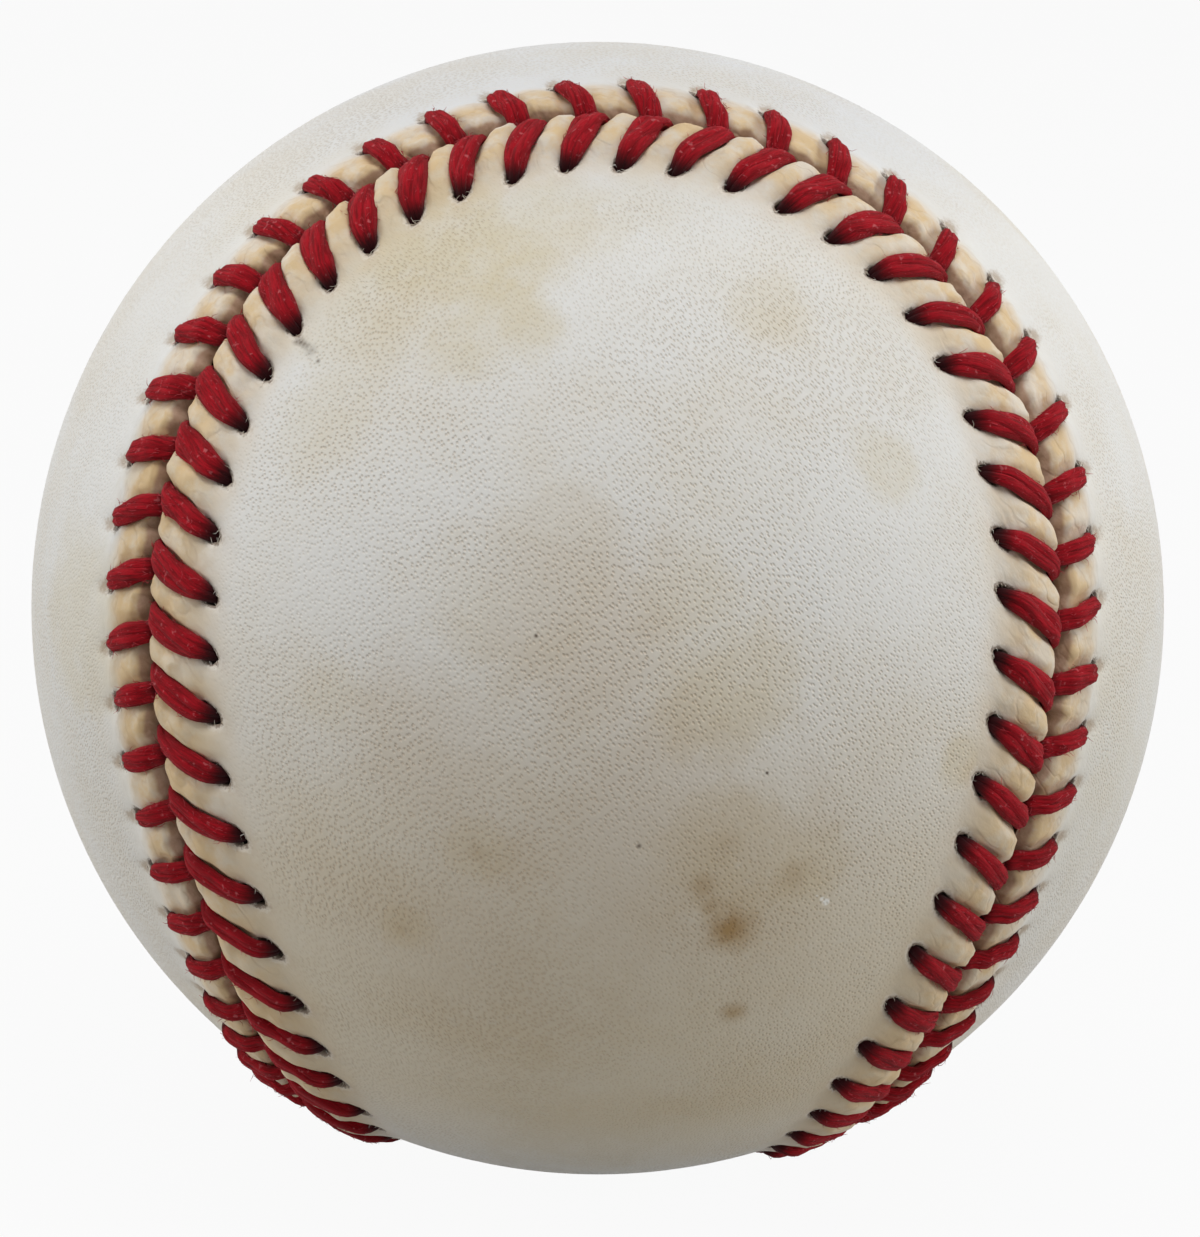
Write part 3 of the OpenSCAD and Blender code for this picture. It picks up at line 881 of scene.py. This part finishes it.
def surface(material, colour, rough, **inputs):
    inputs = {key.replace("_", " "): value for key, value in inputs.items()}
    shader = node("BsdfPrincipled", {"Base Color": colour, "Roughness": rough, **inputs})
    node("OutputMaterial", {"Surface": shader.outputs[0]})
    return material


def show_white(lit, white, share, output):
    """Shows a share of the white shader to the camera and in reflections, else the lit one."""
    rays = add_node(lit.id_data, "LightPath").outputs
    seen = rays["Is Camera Ray"]
    for kind in ("Is Glossy Ray", "Is Transmission Ray"):
        seen = reckon("MAXIMUM", seen, rays[kind])
    shader = node("MixShader", {0: times(seen, share), 1: lit.outputs[0], 2: white.outputs[0]})
    node(output, {"Surface": shader.outputs[0]})


# Marks of the leather in the photograph: pixel x and y, reach in pixels and strength.
# Stains, pale brown and broad
STAINS = {
    "upper_left_top": (430, 235, 90, 0.65),
    "upper_left_middle": (500, 275, 85, 0.7),
    "upper_left_edge": (522, 315, 52, 0.6),
    "upper_left_low": (465, 335, 60, 0.5),
    "upper_left_side": (375, 300, 90, 0.4),
    "upper_left_seam": (330, 320, 60, 0.3),
    "upper_top": (555, 215, 62, 0.45),
    "upper_top_right": (660, 170, 60, 0.2),
    "left_side": (335, 410, 70, 0.3),
    "right_upper": (770, 310, 45, 0.3),
    "right_middle": (890, 465, 42, 0.35),
    "middle_left": (555, 545, 80, 0.18),
    "middle_left_low": (500, 610, 90, 0.22),
    "middle": (695, 600, 65, 0.24),
    "middle_low": (735, 690, 85, 0.42),
    "right_low": (960, 760, 28, 0.45),
    "low_left": (478, 852, 34, 0.3),
    "low_left_small": (405, 929, 25, 0.3),
    "low_middle": (735, 850, 75, 0.35),
    "low_right": (800, 870, 45, 0.35),
    "bottom": (650, 1140, 60, 0.25),
    "left_low": (330, 700, 45, 0.2),
    "left_seam_high": (175, 490, 60, 0.35),
    "left_seam": (165, 600, 65, 0.4),
    "left_seam_low": (180, 720, 65, 0.35),
    "left_rim": (85, 620, 110, 0.38),
    "right_rim": (1100, 800, 90, 0.25),
    "right_rim_upper": (1135, 660, 110, 0.16),
}
# Stains that lie over the tan of the seam
SEAM_STAINS = {
    "left_high": (155, 480, 75, 0.3),
    "left": (145, 600, 80, 0.32),
    "left_low": (160, 720, 75, 0.3),
}
# Broad grey darkening of the leather over the middle and lower front
BROAD_DARKENING = {
    "middle": (560, 630, 150, 0.8),
    "left": (440, 750, 120, 0.6),
    "low": (640, 850, 190, 0.8),
    "low_left": (470, 950, 110, 0.6),
}
# Small brown spots
SPOTS = {
    "brown_spot": (728, 931, 26, 0.9),
    "brown_tail": (702, 888, 16, 0.45),
    "brown_tail_end": (711, 907, 13, 0.4),
    "small_brown_spot": (731, 1013, 12, 0.65),
    "red_brown_spot": (796, 873, 22, 0.35),
    "faint_spot": (727, 845, 20, 0.2),
    "low_left_brown": (478, 853, 14, 0.28),
    "low_left_brown_small": (403, 930, 11, 0.25),
}
# Specks of dark dirt
SPECKS = {
    "seam_crumb": (298, 340, 7, 1.0),
    "seam_crumb_bend": (301, 342, 6, 0.9),
    "seam_crumb_middle": (304, 344, 6, 0.75),
    "seam_crumb_low": (307, 346, 6, 0.6),
    "seam_crumb_end": (311, 350, 8, 0.4),
    "left": (489, 438, 3, 0.6),
    "middle": (536, 636, 3, 0.9),
    "right": (767, 773, 3, 1.3),
    "low": (639, 846, 3, 0.8),
    "upper_left": (318, 361, 3, 0.6),
}
# Small nicks where the white of the leather shows
NICKS = {
    "nick": (826, 902, 4, 0.9),
    "nick_middle": (822, 899, 2.5, 0.8),
    "nick_tail": (817, 896, 1.5, 0.6),
}
# Shares of a mark's reach at which it is full and ends
STAIN_CORE, SPOT_CORE, BROAD_DARKENING_CORE = 0.4, -0.1, 0.2
MARK_RIM = 1.15


def marks(direction, blur, table, core):
    """Share of the surface covered by the marks of a table."""
    total = None
    for pixel_x, pixel_y, reach, strength in table.values():
        centre = photo_direction(pixel_x, pixel_y)
        size = (photo_direction(pixel_x, pixel_y + reach) - centre).length
        away = node("VectorMath", {0: direction, 1: centre}, operation="DISTANCE").outputs["Value"]
        away = plus(away, times(blur, size))
        mark = ramp(away, size * MARK_RIM, size * core, 0.0, strength)
        total = mark if total is None else reckon("MAXIMUM", total, mark)
    return total


# Colours in 8-bit sRGB
LEATHER_WHITE = (229, 228, 224)
LEATHER_CREAM = (225, 220, 209)
LOW_MIDDLE_SHADE_TINT = (245, 234, 214)
TOP_SHADE_TINT = (245, 247, 252)
BROAD_DARKENING_TINT = (244, 239, 234)
STAIN_TINT = (234, 220, 184)
SPOT_TINT = (196, 166, 112)
SPECK_TINT = (84, 64, 42)
NICK_WHITE = (250, 248, 242)
SEAM_TAN = (217, 190, 147)
SEAM_SHADE_BROWN = (160, 120, 88)
HOLE_WALL_AND_SHADE_BROWN = (104, 80, 62)
HOLLOW_SHADE_BEIGE = (158, 130, 96)
HOLE_RIM = (240, 234, 224)
FLESH_AND_SHADE_MAUVE = (190, 158, 134)
FLESH_AND_SHADE_BROWN = (156, 122, 94)
PORE_TINT = (248, 241, 233)
# Pores: spacing in mm, cells to a spacing, stray and stretch
PORE_SPACING, PORE_CELLS = 0.33, 1.22
PORE_STRAY, PORE_SHAPE = 0.72, (1, 1.5, 1)
GRAIN_TURN = math.radians(-40)
FOLD_SHAPE = (1, 1, 2.5)
WRINKLE_SHAPE = (1, 1, 2.2)

# Where the seam's tan ends on each panel and where it is full, and the shares of the painted shade in
# the hollows and along the creases
TAN_END, TAN_FULL = panels(0.72, 0.48), 0.24
HOLLOW_SHARE, CREASE_SHARE = panels(0.4, 0.62), 0.12
# How far the edges of marks, tan, hollows and holes wander
BLUR_MIDDLE, BLUR_REACH = 0.8, 1.4
TAN_BLUR, HOLLOW_CRUMBS, HOLE_CRUMBS = 0.12, 0.5, 0.9
# Bump: distance in m and strength, and heights beside the wrinkles
LEATHER_BUMP = (0.00013, 0.6)
LUMP_HEIGHT, PORE_DEPTH, FOLD_DEPTH = 0.6, 0.8, 0.3


def pore_distance(spot):
    """Distance to the nearest pore, in spacings: a sheet of pores on each side of a cube."""
    places = split(spot)
    sizes = [reckon("ABSOLUTE", value) for value in places]
    total = None
    for facing in range(3):
        first, second = (axis for axis in range(3) if axis != facing)
        sheet = join(*(reckon("ARCTAN2", places[axis], sizes[facing]) for axis in (first, second)))
        inputs = {
            "Vector": stretch(sheet, PORE_SHAPE, (0, 0, -GRAIN_TURN)),
            "Scale": BALL_RADIUS / PORE_SPACING * PORE_CELLS, "Randomness": PORE_STRAY,
        }
        distance = node("TexVoronoi", inputs, voronoi_dimensions="2D").outputs["Distance"]
        widest = reckon("MAXIMUM", sizes[first], sizes[second])
        part = times(distance, reckon("GREATER_THAN", sizes[facing], widest))
        total = part if total is None else plus(total, part)
    return total


def leather_material(name, side):
    """Used white cowhide: stains, broad grey darkening, pores, tan and creases at the seam, punched
    holes, with painted shade low and at the top of the ball, in the valleys, creases, hollows, cut edges
    and holes.
    """
    material, spot = new_material(name)
    direction = node("VectorMath", {0: spot}, operation="NORMALIZE").outputs["Vector"]
    pillow, across, hole = split(attribute(material, "seam_place"))
    mottled = noise(spot, 520, 4, 0.65)
    fine = noise(spot, 1800, 3, 0.6)
    wander = plus(noise(spot, 150, 4, 0.6), times(mottled, 0.6))
    blur = times(minus(wander, BLUR_MIDDLE), BLUR_REACH)

    def covered(table, core):
        return marks(direction, blur, table, core)

    colour = mix(ramp(noise(spot, 95, 4, 0.6), 0.35, 0.75), LEATHER_WHITE, LEATHER_CREAM)
    beside, _, height = split(spot)
    # Painted shade: the lower middle of the ball, front and back, is tinted darker and warmer
    low = times(ramp(height, 0.012, -0.018), ramp(height, -0.034, -0.024))
    low = times(low, ramp(reckon("ABSOLUTE", beside), 0.029, 0.018))
    colour = tint(low, colour, LOW_MIDDLE_SHADE_TINT)
    # Painted shade: the top of the ball is tinted slightly darker and cooler
    colour = tint(ramp(height, 0.026, 0.034), colour, TOP_SHADE_TINT)
    # Broad grey darkening over the middle and lower front of the ball
    colour = tint(covered(BROAD_DARKENING, BROAD_DARKENING_CORE), colour, BROAD_DARKENING_TINT)
    stained = times(covered(STAINS, STAIN_CORE), ramp(mottled, 0.3, 0.62, 0.72, 1.1))
    colour = tint(stained, colour, STAIN_TINT)
    colour = mix(covered(NICKS, STAIN_CORE), colour, NICK_WHITE)

    pore = times(ramp(pore_distance(spot), 0.4, 0.05), ramp(noise(spot, 90, 3, 0.6), 0.36, 0.6, 0.45))
    pore = times(pore, ramp(across, 0.45, 0.8))
    colour = tint(pore, colour, PORE_TINT)
    colour = mix(ramp(fine, 0.5, 0.8, 0.0, 0.25), colour, LEATHER_CREAM)

    near_seam = ramp(plus(across, times(blur, TAN_BLUR)), TAN_END[side], TAN_FULL)
    colour = mix(times(near_seam, ramp(mottled, 0.34, 0.62, 0.45)), colour, SEAM_TAN)
    # Painted shade: browner in the valleys under the thread legs
    colour = mix(times(near_seam, ramp(pillow, 0.7, 0.0, 0.0, 0.3)), colour, SEAM_SHADE_BROWN)
    colour = tint(covered(SEAM_STAINS, STAIN_CORE), colour, STAIN_TINT)
    colour = tint(covered(SPOTS, SPOT_CORE), colour, SPOT_TINT)
    colour = tint(covered(SPECKS, SPOT_CORE), colour, SPECK_TINT)

    folds = noise(stretch(spot, FOLD_SHAPE, (0, GRAIN_TURN, 0)), 520, 2, 0.5)
    crease = ramp(reckon("ABSOLUTE", minus(folds, 0.5)), 0.045, 0.0)
    crease = times(crease, ramp(across, 0.55, 0.35))
    # Painted shade: browner along the creases
    colour = mix(times(crease, CREASE_SHARE), colour, SEAM_SHADE_BROWN)
    # The cut leather's own mauve and brown, darkened as painted shade where it faces into the seam's gap
    cut = mix(ramp(mottled, 0.35, 0.65), FLESH_AND_SHADE_MAUVE, FLESH_AND_SHADE_BROWN)
    colour = mix(ramp(attribute(material, "flesh", "Fac"), 0.05, 0.9), colour, cut)

    crumbs = noise(spot, 4200, 2, 0.6)
    # Painted shade in the hollow that the tight thread has pressed beyond each hole
    hollow_shade = plus(attribute(material, "hollow", "Fac"), times(minus(crumbs, 0.5), HOLLOW_CRUMBS))
    colour = mix(times(ramp(hollow_shade, 0.15, 0.6), HOLLOW_SHARE[side]), colour, HOLLOW_SHADE_BEIGE)
    rough_hole = plus(hole, times(minus(crumbs, 0.5), HOLE_CRUMBS))
    colour = mix(times(ramp(rough_hole, 1.6, 1.2, 0.0, 0.45), ramp(across, 0.3, 0.42)), colour, HOLE_RIM)
    # The hole's cut walls are brown, darkened further as painted shade inside the hole
    colour = mix(ramp(rough_hole, 1.22, 0.98, 0.0, 0.75), colour, HOLE_WALL_AND_SHADE_BROWN)

    wrinkles = noise(stretch(spot, WRINKLE_SHAPE, (0, GRAIN_TURN, 0)), 900, 4, 0.6)
    wrinkled = times(wrinkles, ramp(across, 0.75, 0.35, 0.35, 1.6))
    rise = plus(times(noise(spot, 520, 5, 0.6), LUMP_HEIGHT), wrinkled)
    sunk = plus(times(pore, PORE_DEPTH), times(crease, FOLD_DEPTH))
    normal = bump(minus(rise, sunk), *LEATHER_BUMP)
    rough = ramp(fine, 0.2, 0.8, 0.5, 0.66)
    return surface(material, colour, rough, Normal=normal, Specular_IOR_Level=0.35)


THREAD_RED = (175, 16, 32)
THREAD_SHADE = (127, 8, 18)
THREAD_TUCKED_SHADE = (46, 4, 8)
LINT_AND_SHEEN = (206, 112, 116)
# Scale of the thread's fibres along it and round it, and how much they wind
FIBRES_ALONG, FIBRES_AROUND, FIBRES_WIND = 0.16, 4.0, 0.9
TUCK_RAGGED, FIBRE_RELIEF = 0.5, 1.4
THREAD_BUMP = (0.00015, 0.65)


def thread_material():
    """Red waxed cotton: fibres along the plies, pale lint that also stands in as painted sheen, and
    painted shade where the thread is tucked in.
    """
    material, solid = new_material("stitch_thread")
    length, around, tuck = split(attribute(material, "thread_place"))
    wound = plus(length, times(around, FIBRES_WIND))
    spot = join(times(wound, FIBRES_ALONG), times(around, FIBRES_AROUND))
    fibres = noise(spot, 4.0, 4, 0.6)
    fine_fibres = noise(spot, 13.0, 3, 0.7)
    colour = mix(ramp(fibres, 0.36, 0.6), THREAD_SHADE, THREAD_RED)
    colour = mix(ramp(fine_fibres, 0.5, 0.72, 0.0, 0.45), colour, THREAD_SHADE)
    colour = mix(ramp(noise(solid, 420, 3, 0.6), 0.5, 0.8, 0.0, 0.4), colour, THREAD_SHADE)
    # Pale pinkish lint, which also stands in as painted sheen on the fuzz
    colour = mix(ramp(noise(solid, 2600, 2, 0.5), 0.63, 0.74, 0.0, 0.6), colour, LINT_AND_SHEEN)
    # Painted shade where the thread dips into its holes and into the seam's gap
    ragged_tuck = plus(tuck, times(minus(fine_fibres, 0.5), TUCK_RAGGED))
    colour = mix(ramp(ragged_tuck, 0.25, 0.95), colour, THREAD_TUCKED_SHADE)
    normal = bump(plus(times(fibres, FIBRE_RELIEF), fine_fibres), *THREAD_BUMP)
    return surface(
        material, colour, 0.85, Normal=normal,
        Specular_IOR_Level=0.15, Sheen_Weight=0.06, Sheen_Roughness=0.4,
    )


# Light and dark colour of the thread's fuzz; the light pink also stands in as painted sheen
FUZZ_AND_SHEEN_COLOURS = (200, 84, 92), (168, 22, 38)
TORN_COLOURS = (240, 236, 228), (214, 200, 178)


def fibre_material(name, light, dark):
    material, spot = new_material(name)
    colour = mix(ramp(noise(spot, 1500, 2, 0.5), 0.35, 0.65), dark, light)
    rough = ramp(noise(spot, 6000, 2, 0.5), 0.3, 0.7, 0.75, 0.95)
    return surface(material, colour, rough, Specular_IOR_Level=0.1)


# Yarn of each winding: material, light and dark colour, bands to a metre
YARNS = {
    "finishing_winding": ("white_yarn", (240, 236, 226), (190, 182, 165), 700),
    "third_winding": ("gray_yarn", (150, 150, 148), (92, 92, 92), 260),
    "second_winding": ("white_wool", (234, 226, 208), (176, 166, 144), 260),
    "first_winding": ("gray_wool", (128, 129, 133), (72, 72, 76), 220),
}
# Turns of the wraps that lie across each other, and scale of the patches that each covers,
# where the first covers all
WRAPS = {(0, 0, 0): None, (0.9, 0.4, 1.3): 68, (1.9, 1.1, 0.3): 81, (0.5, 2.2, 1.0): 94}
YARN_BAND = {"Distortion": 1.4, "Detail": 2.0, "Detail Scale": 1.5}
YARN_FUZZ_RELIEF = 0.35
YARN_BUMP = (0.0006, 0.9)


def yarn_material(name, light, dark, bands):
    """Yarn wound round a ball: bands that lie across each other, with fibres along them."""
    material, spot = new_material(name)
    for turn, patches in WRAPS.items():
        wrap = stretch(spot, (1, 1, 1), turn)
        band = node("TexWave", {"Vector": wrap, "Scale": bands, **YARN_BAND}).outputs["Fac"]
        if patches is None:
            total = band
        else:
            patch = ramp(noise(wrap, patches, 1), 0.48, 0.52)
            under = times(total, minus(1.0, patch))
            total = plus(under, times(band, patch))
    fuzz = noise(spot, 2600, 4, 0.7)
    colour = mix(ramp(total, 0.1, 0.8), dark, light)
    colour = mix(ramp(fuzz, 0.4, 0.8, 0.0, 0.3), colour, dark)
    normal = bump(plus(total, times(fuzz, YARN_FUZZ_RELIEF)), *YARN_BUMP)
    return surface(
        material, colour, 0.85, Normal=normal,
        Specular_IOR_Level=0.2, Sheen_Weight=0.3, Sheen_Roughness=0.5,
    )


# Rubber parts: light and dark colour, and the layers made of it
RUBBERS = {
    "red_rubber": ((176, 58, 46), (132, 36, 30), ["outer_rubber_layer"]),
    "black_rubber": (
        (48, 48, 52), (22, 22, 24), ["upper_inner_rubber_shell", "lower_inner_rubber_shell"]
    ),
    "washer_rubber": ((188, 70, 52), (140, 42, 34), ["rubber_washer"]),
}
RUBBER_BUMP = (0.0001, 0.6)


def rubber_material(name, light, dark):
    material, spot = new_material(name)
    cloudy = noise(spot, 160, 5, 0.6)
    grain = noise(spot, 2400, 3, 0.6)
    colour = mix(ramp(cloudy, 0.3, 0.7), dark, light)
    colour = mix(ramp(grain, 0.55, 0.8, 0.0, 0.35), colour, dark)
    normal = bump(plus(grain, cloudy), *RUBBER_BUMP)
    rough = ramp(cloudy, 0.3, 0.7, 0.5, 0.7)
    return surface(material, colour, rough, Normal=normal, Specular_IOR_Level=0.4)


CORK_LIGHT = (196, 150, 98)
CORK_DARK = (140, 96, 58)
CORK_EDGE = (74, 48, 30)
CORK_CELLS = 900.0
CORK_BUMP = (0.0002, 0.7)


def cork_material():
    """Granules of cork in rubber."""
    material, spot = new_material("cork_rubber")
    cells, edges = (
        node("TexVoronoi", {"Vector": spot, "Scale": CORK_CELLS}, feature=feature).outputs
        for feature in ("F1", "DISTANCE_TO_EDGE")
    )
    colour = mix(split(cells["Color"])[0], CORK_LIGHT, CORK_DARK)
    colour = mix(ramp(edges["Distance"], 0.12, 0.02), colour, CORK_EDGE)
    height = plus(ramp(edges["Distance"], 0.0, 0.15), noise(spot, 3000, 3, 0.5))
    return surface(material, colour, 0.82, Normal=bump(height, *CORK_BUMP))


CEMENT_DARK = (198, 178, 130)
CEMENT_LIGHT = (222, 207, 168)
CEMENT_DRIP = (170, 142, 92)
CEMENT_BRUSHED = (1, 1, 5)
CEMENT_BUMP = (0.0002, 0.5)


def cement_material():
    """Rubber cement, brushed on."""
    material, spot = new_material("rubber_cement")
    brushed = noise(stretch(spot, CEMENT_BRUSHED), 420, 5, 0.65)
    drips = noise(spot, 120, 3, 0.6)
    colour = mix(ramp(brushed, 0.3, 0.75), CEMENT_DARK, CEMENT_LIGHT)
    colour = mix(ramp(drips, 0.6, 0.8, 0.0, 0.4), colour, CEMENT_DRIP)
    normal = bump(brushed, *CEMENT_BUMP)
    rough = ramp(drips, 0.3, 0.8, 0.28, 0.5)
    return surface(material, colour, rough, Normal=normal, Coat_Weight=0.3)


FLOOR_DARK = (168, 168, 167)
FLOOR_LIGHT = (176, 176, 175)


def floor_material():
    """Pale floor that shows nearly white to the camera and keeps the ball's shadow."""
    material, spot = new_material("floor")
    tone = ramp(noise(spot, 14, 3, 0.5), 0.3, 0.7)
    lit = node("BsdfDiffuse", {"Color": mix(tone, FLOOR_DARK, FLOOR_LIGHT)})
    white = add_node(material.node_tree, "Emission", {"Color": WHITE, "Strength": 1.0})
    show_white(lit, white, FLOOR_CAMERA_SHARE, "OutputMaterial")
    return material


def make_world():
    """Soft even light that shows as white to the camera and in reflections."""
    world = bpy.data.worlds.new("world")
    bpy.context.scene.world = world
    world.use_nodes = True
    world.node_tree.nodes.clear()
    soft, white = (
        add_node(world.node_tree, "Background", {"Color": WHITE, "Strength": strength})
        for strength in (WORLD_LIGHT, 1.0)
    )
    show_white(soft, white, 1.0, "OutputWorld")


def dress(layer, material):
    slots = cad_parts[layer].data.materials
    slots.clear()
    slots.append(material)


# The scene

bpy.context.scene.view_settings.view_transform = "Standard"
make_camera()
make_world()
make_floor()
for name, light in LIGHTS.items():
    area_light(name, *light)

lips = {side: Lip(side) for side in (LOWER, UPPER)}
upper_panel = cover_panel(lips[UPPER], "upper_leather", ["upper_cover_panel"])
lower_panel = cover_panel(lips[LOWER], "lower_leather", ["lower_cover_panel"])
upper_panel.data.materials.append(leather_material("upper_leather", UPPER))
lower_panel.data.materials.append(leather_material("lower_leather", LOWER))
thread, thread_line = stitching_thread(lips)
thread.data.materials.append(thread_material())
fuzz = thread_fibres(thread_line)
fuzz.data.materials.append(fibre_material("thread_fibre", *FUZZ_AND_SHEEN_COLOURS))
torn = hole_fibres(lips)
torn.data.materials.append(fibre_material("leather_fibre", *TORN_COLOURS))

dress("cement_film", cement_material())
for layer, yarn in YARNS.items():
    dress(layer, yarn_material(*yarn))
for name, (light, dark, layers) in RUBBERS.items():
    rubber = rubber_material(name, light, dark)
    for layer in layers:
        dress(layer, rubber)
dress("cork_core", cork_material())
